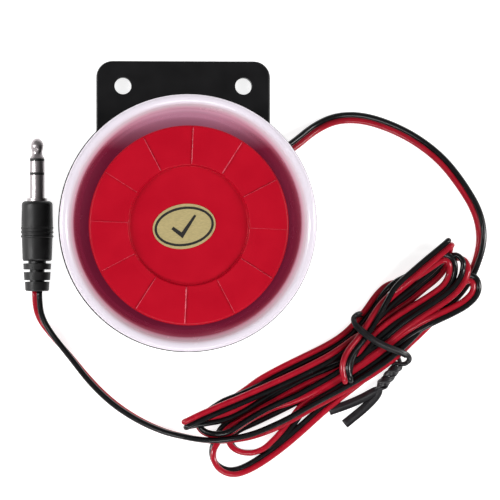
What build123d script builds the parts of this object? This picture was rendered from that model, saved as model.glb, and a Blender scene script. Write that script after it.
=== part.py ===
from build123d import *
import math
import os

# Small wired alarm siren, lying on its back plate. Millimetres.
# Origin: on the horn's axis, in the plane of the plate's back face.
# +Z out of the horn's mouth, +Y towards the plate's screw holes.

# Driving dimensions of the siren
HORN_RADIUS = 28.9
SIREN_HEIGHT = 38.0
BASE_RADIUS = 20.6
WALL = 1.5
GAP = 0.1

# Mounting plate
PLATE_THICKNESS = 3.0
PLATE_REACH = 38.7
PLATE_CORNER = 3.9
MOUNT_HOLE_RADIUS = 2.0
MOUNT_HOLE_SPACING = 28.6
MOUNT_HOLE_Y = PLATE_REACH - 5.9

# Screws that hold the plate to the shell
BASE_SCREW_CIRCLE = 16.8
BASE_SCREW_START = 90.0
BASE_SCREW_RADIUS = 1.0
BASE_SCREW_HEAD = 1.9
BASE_SCREW_HEAD_HEIGHT = 1.3
BASE_SCREW_LENGTH = 7.5
BOSS_RADIUS = 2.6
BOSS_TOP = 9.6

# Horn and reflector cap
RIM_SEAT = 34.2
LIP_RADIUS = HORN_RADIUS + 0.3
SHOULDER_RADIUS = 26.8
HORN_FLOOR = 16.8
HORN_FLOOR_THICKNESS = 1.5
THROAT_RADIUS = 4.6
THROAT_TOP = 28.0
CAP_RADIUS = 22.6
CAP_TOP = 34.75
CAP_WALL = 1.5
CAP_SKIRT_BOTTOM = 24.0
CAP_SHIFT_X = 0.25  # the cap is set a little off the horn's axis
CAP_SHIFT_Y = -0.55
PETAL_RAISE = 0.25
PETAL_START = -2.5
PETAL_ANGLE = 30.0
RECESS_RADIUS = 13.5
RECESS_DEPTH = 0.8
CAP_POST_CIRCLE = 13.0
CAP_POST_RADIUS = 1.6
STICKER_LENGTH = 14.3
STICKER_WIDTH = 10.1
STICKER_THICKNESS = 0.15
STICKER_TURN = 9.5

# Piezo driver
DISC_RADIUS = 13.5
DISC_THICKNESS = 0.3
CERAMIC_RADIUS = 10.0
GASKET_THICKNESS = 1.0
HOUSING_RADIUS = 15.4
HOUSING_BOTTOM = 11.4

# Circuit board
BOARD_RADIUS = 13.2
BOARD_BOTTOM = 4.4
BOARD_THICKNESS = 1.2
BOARD_TOP = BOARD_BOTTOM + BOARD_THICKNESS
BOARD_SCREW_X = 10.8

# Lead and its exit through the shell
LEAD_WIDTH = 2.8
LEAD_RADIUS = LEAD_WIDTH / 2
EXIT_ANGLE = 36.0
EXIT_HEIGHT = 6.2
GROMMET_RADIUS = 3.0
GROMMET_NECK = 2.2
EXIT_START = 17.75  # where the free lead begins, out from the horn's axis

# Plug, lying beside the siren with its axis along Y
PLUG_X = -34.55
PLUG_RADIUS = 3.86
PLUG_Z = PLUG_RADIUS
PLUG_TIP_Y = 20.2
SHAFT_RADIUS = 1.75
GRIP_RADIUS = PLUG_RADIUS - 0.12
RIB_YS = (-0.9, -1.9, -2.9)
RIB_HALF_WIDTH = 0.28
BOOT_RADIUS = 3.3
BOOT_NECK_RADIUS = 2.1
BOOT_CORE_RADIUS = 1.75
BOOT_SLOT_TOP = -10.7
BOOT_SLOT_WIDTH = 0.6
BOOT_GAP_TOP = -13.2

# Hank of folded lead and its tie
HANK_HEIGHT = 6.0
TIE_RADIUS = 0.75
TIE_NECK_RADIUS = 1.3

os.makedirs("parts", exist_ok=True)


def save(builder, name):
    """Label a finished piece and write it as its own STEP file."""
    builder.part.label = name
    export_step(builder.part, f"parts/{name}.step")


# ---------------------------------------------------------------- mounting plate
with BuildPart() as mounting_base:
    with BuildSketch():
        Circle(BASE_RADIUS)
        with Locations((0, PLATE_REACH / 2)):
            Rectangle(2 * BASE_RADIUS, PLATE_REACH)
        fillet(vertices().group_by(Axis.Y)[-1], PLATE_CORNER)
    extrude(amount=PLATE_THICKNESS)
    fillet(faces().sort_by(Axis.Z)[-1].outer_wire().edges(), 0.4)
    chamfer(faces().sort_by(Axis.Z)[0].outer_wire().edges(), 0.3)
    # ring and two posts that carry the circuit board
    with BuildSketch(Plane.XY.offset(PLATE_THICKNESS)):
        Circle(BOARD_RADIUS)
        Circle(BOARD_RADIUS - 1.0, mode=Mode.SUBTRACT)
        with Locations((BOARD_SCREW_X, 0), (-BOARD_SCREW_X, 0)):
            Circle(1.9)
    extrude(amount=BOARD_BOTTOM - PLATE_THICKNESS)
    # mounting holes
    with BuildSketch():
        with Locations((-MOUNT_HOLE_SPACING / 2, MOUNT_HOLE_Y), (MOUNT_HOLE_SPACING / 2, MOUNT_HOLE_Y)):
            Circle(MOUNT_HOLE_RADIUS)
    extrude(amount=PLATE_THICKNESS, mode=Mode.SUBTRACT)
    # counterbored screw holes, from the back
    with BuildSketch():
        with PolarLocations(BASE_SCREW_CIRCLE, 3, start_angle=BASE_SCREW_START):
            Circle(BASE_SCREW_RADIUS + GAP)
    extrude(amount=PLATE_THICKNESS, mode=Mode.SUBTRACT)
    with BuildSketch():
        with PolarLocations(BASE_SCREW_CIRCLE, 3, start_angle=BASE_SCREW_START):
            Circle(BASE_SCREW_HEAD + GAP)
    extrude(amount=BASE_SCREW_HEAD_HEIGHT + GAP, mode=Mode.SUBTRACT)
    # pilot holes in the posts
    with BuildSketch(Plane.XY.offset(BOARD_BOTTOM)):
        with Locations((BOARD_SCREW_X, 0), (-BOARD_SCREW_X, 0)):
            Circle(0.9)
    extrude(amount=-2.6, mode=Mode.SUBTRACT)
save(mounting_base, "mounting_base")

with BuildPart() as base_screws:
    with BuildSketch(Plane.XY.offset(GAP)):
        with PolarLocations(BASE_SCREW_CIRCLE, 3, start_angle=BASE_SCREW_START):
            Circle(BASE_SCREW_HEAD)
    extrude(amount=BASE_SCREW_HEAD_HEIGHT)
    with BuildSketch(Plane.XY.offset(GAP + BASE_SCREW_HEAD_HEIGHT)):
        with PolarLocations(BASE_SCREW_CIRCLE, 3, start_angle=BASE_SCREW_START):
            Circle(BASE_SCREW_RADIUS)
    extrude(amount=BASE_SCREW_LENGTH - BASE_SCREW_HEAD_HEIGHT)
    # cross recess in each head
    with BuildSketch(Plane.XY.offset(GAP)):
        with PolarLocations(BASE_SCREW_CIRCLE, 3, start_angle=BASE_SCREW_START):
            Rectangle(2.2, 0.5)
            Rectangle(0.5, 2.2)
    extrude(amount=0.8, mode=Mode.SUBTRACT)
save(base_screws, "base_screws")

# ---------------------------------------------------------------- shell
exit_plane = Plane(
    origin=(0, 0, EXIT_HEIGHT),
    x_dir=(-math.sin(math.radians(EXIT_ANGLE)), math.cos(math.radians(EXIT_ANGLE)), 0),
    z_dir=(math.cos(math.radians(EXIT_ANGLE)), math.sin(math.radians(EXIT_ANGLE)), 0),
)

with BuildPart() as outer_shell:
    with BuildSketch(Plane.XZ):
        with BuildLine():
            outside = FilletPolyline(
                (BASE_RADIUS, PLATE_THICKNESS),
                (BASE_RADIUS, 9.8),
                (SHOULDER_RADIUS, 14.5),
                (HORN_RADIUS - 0.15, 32.0),
                radius=2.4,
            )
            lip = Polyline(
                outside @ 1,
                (LIP_RADIUS, 32.5),
                (LIP_RADIUS, RIM_SEAT),
                (HORN_RADIUS - 0.15 - WALL, RIM_SEAT),
            )
            inside = FilletPolyline(
                lip @ 1,
                (SHOULDER_RADIUS - WALL, 15.2),
                (BASE_RADIUS - WALL, 10.5),
                (BASE_RADIUS - WALL, PLATE_THICKNESS),
                radius=1.6,
            )
            Line(inside @ 1, outside @ 0)
        make_face()
    revolve(axis=Axis.Z)
    # bosses for the plate's screws
    with BuildSketch(Plane.XY.offset(PLATE_THICKNESS)):
        with PolarLocations(BASE_SCREW_CIRCLE, 3, start_angle=BASE_SCREW_START):
            Circle(BOSS_RADIUS)
    extrude(amount=BOSS_TOP - PLATE_THICKNESS)
    with BuildSketch(Plane.XY.offset(PLATE_THICKNESS)):
        with PolarLocations(BASE_SCREW_CIRCLE, 3, start_angle=BASE_SCREW_START):
            Circle(BASE_SCREW_RADIUS + 0.02)
    extrude(amount=5.5, mode=Mode.SUBTRACT)
    # hole for the lead's grommet
    with BuildSketch(exit_plane.offset(BASE_RADIUS - 4)):
        Circle(GROMMET_NECK + GAP / 2)
    extrude(amount=6, mode=Mode.SUBTRACT)
save(outer_shell, "outer_shell")

# ---------------------------------------------------------------- horn
with BuildPart() as horn_insert:
    with BuildSketch(Plane.XZ):
        with BuildLine():
            mouth = FilletPolyline(
                (HORN_RADIUS, RIM_SEAT + GAP),
                (HORN_RADIUS, SIREN_HEIGHT),
                (27.0, SIREN_HEIGHT),
                (25.9, 34.6),
                (24.4, 21.0),
                (22.0, HORN_FLOOR),
                (THROAT_RADIUS + 1.6, HORN_FLOOR),
                (THROAT_RADIUS + 1.2, THROAT_TOP),
                radius=[0.9, 1.3, 5.0, 8.0, 2.2, 1.5],
            )
            throat = Polyline(
                mouth @ 1,
                (THROAT_RADIUS + 0.3, THROAT_TOP),
                (THROAT_RADIUS, HORN_FLOOR - HORN_FLOOR_THICKNESS),
            )
            back = FilletPolyline(
                throat @ 1,
                (22.6, HORN_FLOOR - HORN_FLOOR_THICKNESS),
                (25.55, 20.5),
                (27.05, 33.2),
                (27.05, RIM_SEAT + GAP),
                radius=[2.0, 6.0, 0.5],
            )
            Line(back @ 1, mouth @ 0)
        make_face()
    revolve(axis=Axis.Z)
    # skirt that takes the driver's housing
    with BuildSketch(Plane.XY.offset(HORN_FLOOR - HORN_FLOOR_THICKNESS)):
        Circle(HOUSING_RADIUS + GAP + 1.2)
        Circle(HOUSING_RADIUS + GAP, mode=Mode.SUBTRACT)
    extrude(amount=-3.4)
    # sockets for the cap's posts
    with BuildSketch(Plane.XY.offset(HORN_FLOOR - 0.5)):
        with Locations((CAP_SHIFT_X, CAP_SHIFT_Y)):
            with PolarLocations(CAP_POST_CIRCLE, 3, start_angle=60):
                Circle(3.0)
                Circle(CAP_POST_RADIUS + 0.02, mode=Mode.SUBTRACT)
    extrude(amount=5.0)
save(horn_insert, "horn_insert")

# ---------------------------------------------------------------- reflector cap
cap_plane = Plane(origin=(CAP_SHIFT_X, CAP_SHIFT_Y, 0))
cap_section = Plane(origin=(CAP_SHIFT_X, CAP_SHIFT_Y, 0), x_dir=(1, 0, 0), z_dir=(0, -1, 0))
cap_axis = Axis((CAP_SHIFT_X, CAP_SHIFT_Y, 0), (0, 0, 1))

with BuildPart() as reflector_cap:
    with BuildSketch(cap_section):
        with BuildLine():
            front = FilletPolyline(
                (0, CAP_TOP - RECESS_DEPTH),
                (RECESS_RADIUS - 0.1, CAP_TOP - RECESS_DEPTH),
                (RECESS_RADIUS + 0.15, CAP_TOP + 0.1),
                (RECESS_RADIUS + 1.7, CAP_TOP),
                (CAP_RADIUS, CAP_TOP),
                (CAP_RADIUS, CAP_SKIRT_BOTTOM),
                radius=[0.15, 0.3, 0.5, 0.55],
            )
            hollow = FilletPolyline(
                front @ 1,
                (CAP_RADIUS - CAP_WALL, CAP_SKIRT_BOTTOM),
                (CAP_RADIUS - CAP_WALL, CAP_TOP - 2.2),
                (0, CAP_TOP - 2.6),
                radius=[0.3, 1.5],
            )
            Line(hollow @ 1, front @ 0)
        make_face()
    revolve(axis=cap_axis)
    # posts that hold the cap on the horn's floor
    with BuildSketch(cap_plane.offset(HORN_FLOOR + GAP)):
        with PolarLocations(CAP_POST_CIRCLE, 3, start_angle=60):
            Circle(CAP_POST_RADIUS)
    extrude(amount=CAP_TOP - 2.0 - HORN_FLOOR)
    # every other petal stands a little proud
    for petal in range(6):
        turn = math.radians(PETAL_START + 2 * PETAL_ANGLE * petal)
        petal_section = Plane(
            origin=(CAP_SHIFT_X, CAP_SHIFT_Y, 0),
            x_dir=(math.cos(turn), math.sin(turn), 0),
            z_dir=(math.sin(turn), -math.cos(turn), 0),
        )
        with BuildSketch(petal_section):
            with BuildLine():
                crown = FilletPolyline(
                    (RECESS_RADIUS + 0.1, CAP_TOP - 0.25),
                    (RECESS_RADIUS + 0.25, CAP_TOP + PETAL_RAISE),
                    (CAP_RADIUS, CAP_TOP + PETAL_RAISE),
                    (CAP_RADIUS, CAP_TOP - 1.2),
                    radius=[0.15, 0.55],
                )
                Polyline(crown @ 1, (RECESS_RADIUS + 0.6, CAP_TOP - 1.2), crown @ 0)
            make_face()
        revolve(axis=cap_axis, revolution_arc=PETAL_ANGLE)
save(reflector_cap, "reflector_cap")

with BuildPart() as inspection_sticker:
    with BuildSketch(cap_plane.offset(CAP_TOP - RECESS_DEPTH)):
        with Locations(Location((-1.07, -0.22, 0), (0, 0, STICKER_TURN))):
            Ellipse(STICKER_LENGTH / 2, STICKER_WIDTH / 2)
    extrude(amount=STICKER_THICKNESS)
save(inspection_sticker, "inspection_sticker")

# ---------------------------------------------------------------- piezo driver
GASKET_BOTTOM = HORN_FLOOR - HORN_FLOOR_THICKNESS - GASKET_THICKNESS
DISC_BOTTOM = GASKET_BOTTOM - DISC_THICKNESS

with BuildPart() as driver_gasket:
    with BuildSketch(Plane.XY.offset(GASKET_BOTTOM)):
        Circle(DISC_RADIUS)
        Circle(DISC_RADIUS - 2.0, mode=Mode.SUBTRACT)
    extrude(amount=GASKET_THICKNESS)
save(driver_gasket, "driver_gasket")

with BuildPart() as piezo_brass_disc:
    with BuildSketch(Plane.XY.offset(DISC_BOTTOM)):
        Circle(DISC_RADIUS)
    extrude(amount=DISC_THICKNESS)
save(piezo_brass_disc, "piezo_brass_disc")

with BuildPart() as piezo_ceramic:
    with BuildSketch(Plane.XY.offset(DISC_BOTTOM - DISC_THICKNESS)):
        Circle(CERAMIC_RADIUS)
    extrude(amount=DISC_THICKNESS)
save(piezo_ceramic, "piezo_ceramic")

with BuildPart() as driver_housing:
    with BuildSketch(Plane.XZ):
        with BuildLine():
            Polyline(
                (HOUSING_RADIUS, HOUSING_BOTTOM),
                (HOUSING_RADIUS, HORN_FLOOR - HORN_FLOOR_THICKNESS),
                (DISC_RADIUS + GAP, HORN_FLOOR - HORN_FLOOR_THICKNESS),
                (DISC_RADIUS + GAP, DISC_BOTTOM),
                (DISC_RADIUS - 1.5, DISC_BOTTOM),
                (DISC_RADIUS - 1.5, HOUSING_BOTTOM + 1.0),
                (2.4, HOUSING_BOTTOM + 1.0),
                (2.4, HOUSING_BOTTOM),
                close=True,
            )
        make_face()
    revolve(axis=Axis.Z)
save(driver_housing, "driver_housing")

with BuildPart() as piezo_leads:
    for side in (-1, 1):
        with BuildLine() as lead_line:
            FilletPolyline(
                (side * 1.2, 2.0, BOARD_TOP),
                (side * 1.2, 2.0, 8.6),
                (side * 1.2, 0, 10.4),
                (side * 1.2, 0, DISC_BOTTOM - DISC_THICKNESS),
                radius=0.8,
            )
        with BuildSketch(Plane(origin=lead_line.line @ 0, z_dir=lead_line.line % 0)):
            Circle(0.45)
        sweep(path=lead_line.line)
save(piezo_leads, "piezo_leads")

# ---------------------------------------------------------------- circuit board
with BuildPart() as circuit_board:
    with BuildSketch(Plane.XY.offset(BOARD_BOTTOM)):
        Circle(BOARD_RADIUS)
        with Locations((BOARD_SCREW_X, 0), (-BOARD_SCREW_X, 0)):
            Circle(1.0, mode=Mode.SUBTRACT)
    extrude(amount=BOARD_THICKNESS)
save(circuit_board, "circuit_board")

with BuildPart() as board_screws:
    with BuildSketch(Plane.XY.offset(BOARD_TOP - 3.4)):
        with Locations((BOARD_SCREW_X, 0), (-BOARD_SCREW_X, 0)):
            Circle(0.85)
    extrude(amount=3.4)
    with BuildSketch(Plane.XY.offset(BOARD_TOP)):
        with Locations((BOARD_SCREW_X, 0), (-BOARD_SCREW_X, 0)):
            Circle(1.6)
    extrude(amount=1.1)
    with BuildSketch(Plane.XY.offset(BOARD_TOP + 0.5)):
        with Locations((BOARD_SCREW_X, 0), (-BOARD_SCREW_X, 0)):
            Rectangle(1.9, 0.4)
            Rectangle(0.4, 1.9)
    extrude(amount=0.6, mode=Mode.SUBTRACT)
save(board_screws, "board_screws")

with BuildPart() as siren_chip:
    with BuildSketch(Plane.XY.offset(BOARD_TOP + 0.5)):
        with Locations((-3.9, -7.0)):
            Rectangle(9.0, 6.2)
    extrude(amount=3.0)
    chamfer(faces().sort_by(Axis.Z)[-1].edges(), 0.3)
    with BuildSketch(Plane.XY.offset(BOARD_TOP)):
        with Locations((-3.9, -7.0)):
            with GridLocations(2.2, 7.2, 4, 2):
                Rectangle(0.5, 1.0)
    extrude(amount=2.0)
save(siren_chip, "siren_chip")

with BuildPart() as switching_transistor:
    with BuildSketch(Plane.XY.offset(BOARD_TOP + 1.0)):
        with Locations((7.6, -6.0)):
            Circle(2.3)
            with Locations((0, 2.5)):
                Rectangle(6, 3, mode=Mode.SUBTRACT)
    extrude(amount=4.4)
    with BuildSketch(Plane.XY.offset(BOARD_TOP)):
        with Locations((7.6, -6.0)):
            with GridLocations(1.25, 1, 3, 1):
                Rectangle(0.45, 0.45)
    extrude(amount=1.0)
save(switching_transistor, "switching_transistor")

BOOSTER_AT = (-5.6, 6.4)
with BuildPart() as booster_core:
    with BuildSketch(Plane.XY.offset(BOARD_TOP)):
        with Locations(BOOSTER_AT):
            Circle(3.6)
    extrude(amount=1.0)
    with BuildSketch(Plane.XY.offset(BOARD_TOP + 1.0)):
        with Locations(BOOSTER_AT):
            Circle(1.5)
    extrude(amount=3.4)
    with BuildSketch(Plane.XY.offset(BOARD_TOP + 4.4)):
        with Locations(BOOSTER_AT):
            Circle(3.6)
    extrude(amount=1.0)
save(booster_core, "booster_core")

with BuildPart() as booster_winding:
    with BuildSketch(Plane.XY.offset(BOARD_TOP + 1.0)):
        with Locations(BOOSTER_AT):
            Circle(3.1)
            Circle(1.5, mode=Mode.SUBTRACT)
    extrude(amount=3.4)
save(booster_winding, "booster_winding")

with BuildPart() as capacitor:
    with BuildSketch(Plane.XY.offset(BOARD_TOP)):
        with Locations((4.4, 7.4)):
            Circle(2.5)
    extrude(amount=5.4)
    fillet(faces().sort_by(Axis.Z)[-1].edges(), 0.4)
save(capacitor, "capacitor")

with BuildPart() as resistors:
    for row in (-1.6, -4.6):
        with BuildSketch(Plane.YZ.offset(1.6)):
            with Locations((row, BOARD_TOP + 1.2)):
                Circle(0.95)
        extrude(amount=2.6)
        with BuildSketch(Plane.YZ.offset(0.8)):
            with Locations((row, BOARD_TOP + 1.2)):
                Circle(0.3)
        extrude(amount=4.2)
save(resistors, "resistors")

with BuildPart() as protection_diode:
    with BuildSketch(Plane.YZ.offset(-6.6)):
        with Locations((-0.6, BOARD_TOP + 1.4)):
            Circle(1.3)
    extrude(amount=3.8)
    with BuildSketch(Plane.YZ.offset(-7.6)):
        with Locations((-0.6, BOARD_TOP + 1.4)):
            Circle(0.4)
    extrude(amount=5.8)
save(protection_diode, "protection_diode")

# ---------------------------------------------------------------- lead's exit
with BuildPart() as cord_grommet:
    with BuildSketch(exit_plane.offset(BASE_RADIUS + 0.05)):
        Circle(GROMMET_RADIUS)
    extrude(amount=1.2, taper=12)
    with BuildSketch(exit_plane.offset(EXIT_START + 1.0)):
        Circle(GROMMET_NECK)
    extrude(amount=BASE_RADIUS + 0.05 - 18.75)
    with BuildSketch(exit_plane.offset(EXIT_START)):
        Circle(2.7)
    extrude(amount=1.0)
    with BuildSketch(exit_plane.offset(EXIT_START - 0.75)):
        Circle(LEAD_RADIUS + 0.02)
    extrude(amount=6.0, mode=Mode.SUBTRACT)
save(cord_grommet, "cord_grommet")

inward = exit_plane.z_dir * -1
with BuildPart() as cord_tails:
    for side in (-1, 1):
        sideways = exit_plane.x_dir * side
        tail_start = exit_plane.offset(EXIT_START - 0.05).origin + sideways * 0.7
        tail_rise = tail_start + inward * 2.6
        tail_over = tail_start + inward * 7.2 + sideways * 0.5 + Vector(0, 0, 1.4)
        tail_pad = Vector(tail_over.X, tail_over.Y, BOARD_TOP)
        with BuildLine() as tail_line:
            FilletPolyline(tail_start, tail_rise, tail_over, tail_pad, radius=0.8)
        with BuildSketch(Plane(origin=tail_line.line @ 0, z_dir=tail_line.line % 0)):
            Circle(0.6)
        sweep(path=tail_line.line)
save(cord_tails, "cord_tails")

# ---------------------------------------------------------------- plug
plug_section = Plane(origin=(PLUG_X, 0, PLUG_Z), x_dir=(1, 0, 0), z_dir=(0, 0, 1))
plug_axis = Axis((PLUG_X, 0, PLUG_Z), (0, 1, 0))

RING_ONE_TOP = 15.5
RING_ONE_BOTTOM = 14.85
RING_TWO_TOP = 12.2
RING_TWO_BOTTOM = 11.6
SLEEVE_BOTTOM = 6.1
COLLAR_BOTTOM = 5.45
BODY_BOTTOM = -8.7
BOOT_BOTTOM = -15.8

with BuildPart() as plug_tip:
    with BuildSketch(plug_section):
        with BuildLine():
            tip_front = Line((0, PLUG_TIP_Y), (0.35, PLUG_TIP_Y))
            nose = ThreePointArc(tip_front @ 1, (1.05, PLUG_TIP_Y - 0.55), (1.48, PLUG_TIP_Y - 1.7))
            waist = Spline(
                nose @ 1,
                (1.2, 16.9),
                (1.55, RING_ONE_TOP + 0.35),
                tangents=[(0, -1), (1, -1)],
            )
            Polyline(waist @ 1, (1.7, RING_ONE_TOP), (0, RING_ONE_TOP), tip_front @ 0)
        make_face()
    revolve(axis=plug_axis)
save(plug_tip, "plug_tip")


def plug_turning(name, *profile):
    """A piece of the plug, turned about the plug's axis from its half outline."""
    with BuildPart() as turned:
        with BuildSketch(plug_section):
            with BuildLine():
                Polyline(*profile, close=True)
            make_face()
        revolve(axis=plug_axis)
    save(turned, name)


def plug_band(top, bottom, radius):
    """Half outline of a plain stretch of the plug's shaft."""
    return (0, bottom), (radius, bottom), (radius, top), (0, top)


plug_turning("plug_ring", *plug_band(RING_ONE_BOTTOM, RING_TWO_TOP, SHAFT_RADIUS))
plug_turning("plug_sleeve", *plug_band(RING_TWO_BOTTOM, SLEEVE_BOTTOM, SHAFT_RADIUS))
plug_turning("plug_collar", *plug_band(SLEEVE_BOTTOM, COLLAR_BOTTOM, 2.35))

with BuildPart() as plug_insulators:
    for top, bottom in ((RING_ONE_TOP, RING_ONE_BOTTOM), (RING_TWO_TOP, RING_TWO_BOTTOM)):
        with BuildSketch(plug_section):
            with BuildLine():
                Polyline(*plug_band(top, bottom, SHAFT_RADIUS - 0.03), close=True)
            make_face()
        revolve(axis=plug_axis)
save(plug_insulators, "plug_insulators")

with BuildPart() as plug_body:
    with BuildSketch(plug_section):
        with BuildLine():
            side_line = FilletPolyline(
                (0, COLLAR_BOTTOM),
                (GRIP_RADIUS - 0.1, COLLAR_BOTTOM),
                (GRIP_RADIUS, -0.6),
                (GRIP_RADIUS - 0.3, BODY_BOTTOM),
                (0, BODY_BOTTOM),
                radius=[0.9, 3.0, 0.5],
            )
            Line(side_line @ 1, side_line @ 0)
        make_face()
        # three fine ribs round the grip
        for rib_y in RIB_YS:
            with BuildLine():
                Polyline(
                    (GRIP_RADIUS - 0.5, rib_y + RIB_HALF_WIDTH),
                    (GRIP_RADIUS - 0.04, rib_y + RIB_HALF_WIDTH),
                    (PLUG_RADIUS, rib_y + RIB_HALF_WIDTH / 2),
                    (PLUG_RADIUS, rib_y - RIB_HALF_WIDTH / 2),
                    (GRIP_RADIUS - 0.08, rib_y - RIB_HALF_WIDTH),
                    (GRIP_RADIUS - 0.5, rib_y - RIB_HALF_WIDTH),
                    close=True,
                )
            make_face()
    revolve(axis=plug_axis)
save(plug_body, "plug_body")

with BuildPart() as plug_boot:
    with BuildSketch(plug_section):
        with BuildLine():
            Polyline(
                (0, BODY_BOTTOM),
                (BOOT_NECK_RADIUS, BODY_BOTTOM),
                (BOOT_NECK_RADIUS, BODY_BOTTOM - 0.5),
                (BOOT_RADIUS, BODY_BOTTOM - 0.6),
                (BOOT_RADIUS - 0.25, BOOT_GAP_TOP),
                (BOOT_CORE_RADIUS, BOOT_GAP_TOP - 0.05),
                (BOOT_CORE_RADIUS, BOOT_GAP_TOP - 0.35),
                (BOOT_RADIUS - 0.4, BOOT_GAP_TOP - 0.4),
                (BOOT_RADIUS - 0.5, BOOT_BOTTOM + 0.2),
                (BOOT_RADIUS - 0.8, BOOT_BOTTOM),
                (0, BOOT_BOTTOM),
                close=True,
            )
        make_face()
    revolve(axis=plug_axis)
    # flex slot round the boot, leaving its core
    with BuildSketch(plug_section):
        with BuildLine():
            Polyline(
                (BOOT_CORE_RADIUS, BOOT_SLOT_TOP),
                (BOOT_RADIUS + 0.3, BOOT_SLOT_TOP),
                (BOOT_RADIUS + 0.3, BOOT_SLOT_TOP - BOOT_SLOT_WIDTH),
                (BOOT_CORE_RADIUS, BOOT_SLOT_TOP - BOOT_SLOT_WIDTH),
                close=True,
            )
        make_face()
    revolve(axis=plug_axis, mode=Mode.SUBTRACT)
save(plug_boot, "plug_boot")

# ---------------------------------------------------------------- free lead
# Route from the grommet over the plate's edge, down, and round to the hank.
exit_start = exit_plane.offset(EXIT_START).origin
SIREN_ROUTE = [
    (exit_start.X, exit_start.Y, EXIT_HEIGHT),
    (21.6, 15.7, EXIT_HEIGHT),
    (26.6, 19.1, 3.9),
    (31.2, 22.9, LEAD_RADIUS),
    (36.4, 25.4, LEAD_RADIUS),
    (42.6, 25.6, LEAD_RADIUS),
    (49.6, 23.5, LEAD_RADIUS),
    (56.2, 20.1, LEAD_RADIUS),
    (62.1, 15.4, LEAD_RADIUS),
    (66.8, 9.4, LEAD_RADIUS),
    (70.6, 3.0, LEAD_RADIUS),
    (71.7, -3.2, LEAD_RADIUS),
    (69.9, -9.0, LEAD_RADIUS),
]
# Route from the hank to the end of the plug's boot.
PLUG_ROUTE = [
    (0.4, -50.5, LEAD_RADIUS),
    (-4.6, -49.3, LEAD_RADIUS),
    (-10.8, -46.5, LEAD_RADIUS),
    (-16.9, -42.4, LEAD_RADIUS),
    (-22.2, -37.2, LEAD_RADIUS),
    (-26.9, -31.2, LEAD_RADIUS),
    (-31.0, -26.4, 2.0),
    (-33.6, -22.6, 3.2),
    (PLUG_X, -19.2, PLUG_Z),
    (PLUG_X, BOOT_BOTTOM, PLUG_Z),
]


def corner_radii(route):
    """Radius of each arc: 0.45 of the shorter run over the tangent of half the turn."""
    radii = []
    for before, corner, after in zip(route, route[1:], route[2:]):
        run_in = Vector(*corner) - Vector(*before)
        run_out = Vector(*after) - Vector(*corner)
        half_turn = math.radians(run_in.get_angle(run_out)) / 2
        radii.append(0.45 * min(run_in.length, run_out.length) / math.tan(half_turn))
    return radii


def lead_tube(name, route):
    """Plain round tube of the lead's width along straight runs and tangent arcs."""
    radii = corner_radii(route)
    with BuildPart() as tube:
        with BuildLine() as path:
            FilletPolyline(*route, radius=radii)
        with BuildSketch(Plane(origin=path.line @ 0, z_dir=path.line % 0)):
            Circle(LEAD_RADIUS)
        sweep(path=path.line)
    save(tube, name)
    run_length = path.wire().length
    ideal = math.pi * LEAD_RADIUS**2 * run_length
    print(name, "radii", [round(radius, 1) for radius in radii])
    print(name, "length", round(run_length, 1), "volume ratio", round(tube.part.volume / ideal, 4))


lead_tube("cord_lead_siren", SIREN_ROUTE)
lead_tube("cord_lead_plug", PLUG_ROUTE)


def lead_flat(route_before, route_end):
    """Corners of the flat on the hank's outline that a lead meets squarely."""
    run = Vector(*route_end) - Vector(*route_before)
    side = run.cross(Vector(0, 0, 1)).normalized() * (LEAD_RADIUS + GAP)
    corners = (Vector(*route_end) + side, Vector(*route_end) - side)
    return [(corner.X, corner.Y) for corner in corners]


# Outer shape of the hank, with a flat where each lead enters it.
HANK_OUTLINE = [
    *reversed(lead_flat(SIREN_ROUTE[-2], SIREN_ROUTE[-1])),
    (66.6, -4.0),
    (63.2, -1.4),
    (57.2, -5.6),
    (51.6, -11.2),
    (46.4, -13.4),
    (42.6, -17.4),
    (39.6, -22.4),
    (34.4, -26.4),
    (22.6, -33.8),
    (10.6, -40.8),
    (2.6, -44.2),
    (-0.7, -46.8),
    *reversed(lead_flat(PLUG_ROUTE[1], PLUG_ROUTE[0])),
    (5.6, -53.0),
    (6.4, -57.4),
    (9.6, -60.4),
    (13.6, -60.9),
    (19.6, -58.6),
    (27.4, -51.2),
    (36.6, -42.6),
    (47.6, -35.2),
    (52.4, -31.4),
    (58.0, -26.7),
    (65.4, -22.2),
    (70.2, -18.2),
    (71.8, -14.0),
]
TIE_LEFT = (40.2, -23.0)
TIE_RIGHT = (53.6, -31.8)
tie_run = Vector(TIE_RIGHT[0] - TIE_LEFT[0], TIE_RIGHT[1] - TIE_LEFT[1], 0)
tie_middle = Vector((TIE_LEFT[0] + TIE_RIGHT[0]) / 2, (TIE_LEFT[1] + TIE_RIGHT[1]) / 2, 0)
tie_half = tie_run.length / 2
tie_plane = Plane(origin=tie_middle, x_dir=tie_run, z_dir=tie_run.cross(Vector(0, 0, 1)))

with BuildPart() as cord_hank:
    with BuildSketch():
        with BuildLine():
            Polyline(*HANK_OUTLINE, close=True)
        make_face()
    extrude(amount=HANK_HEIGHT)
    # waist that the tie closes round
    with BuildSketch(tie_plane.offset(-1.0)):
        with Locations((0, HANK_HEIGHT / 2)):
            Rectangle(2 * tie_half + 8, HANK_HEIGHT + 2)
            RectangleRounded(
                2 * tie_half - 2 * TIE_RADIUS - 0.2,
                HANK_HEIGHT - 4 * TIE_RADIUS - 0.2,
                1.2,
                mode=Mode.SUBTRACT,
            )
    extrude(amount=2.0, mode=Mode.SUBTRACT)
save(cord_hank, "cord_hank")

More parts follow.
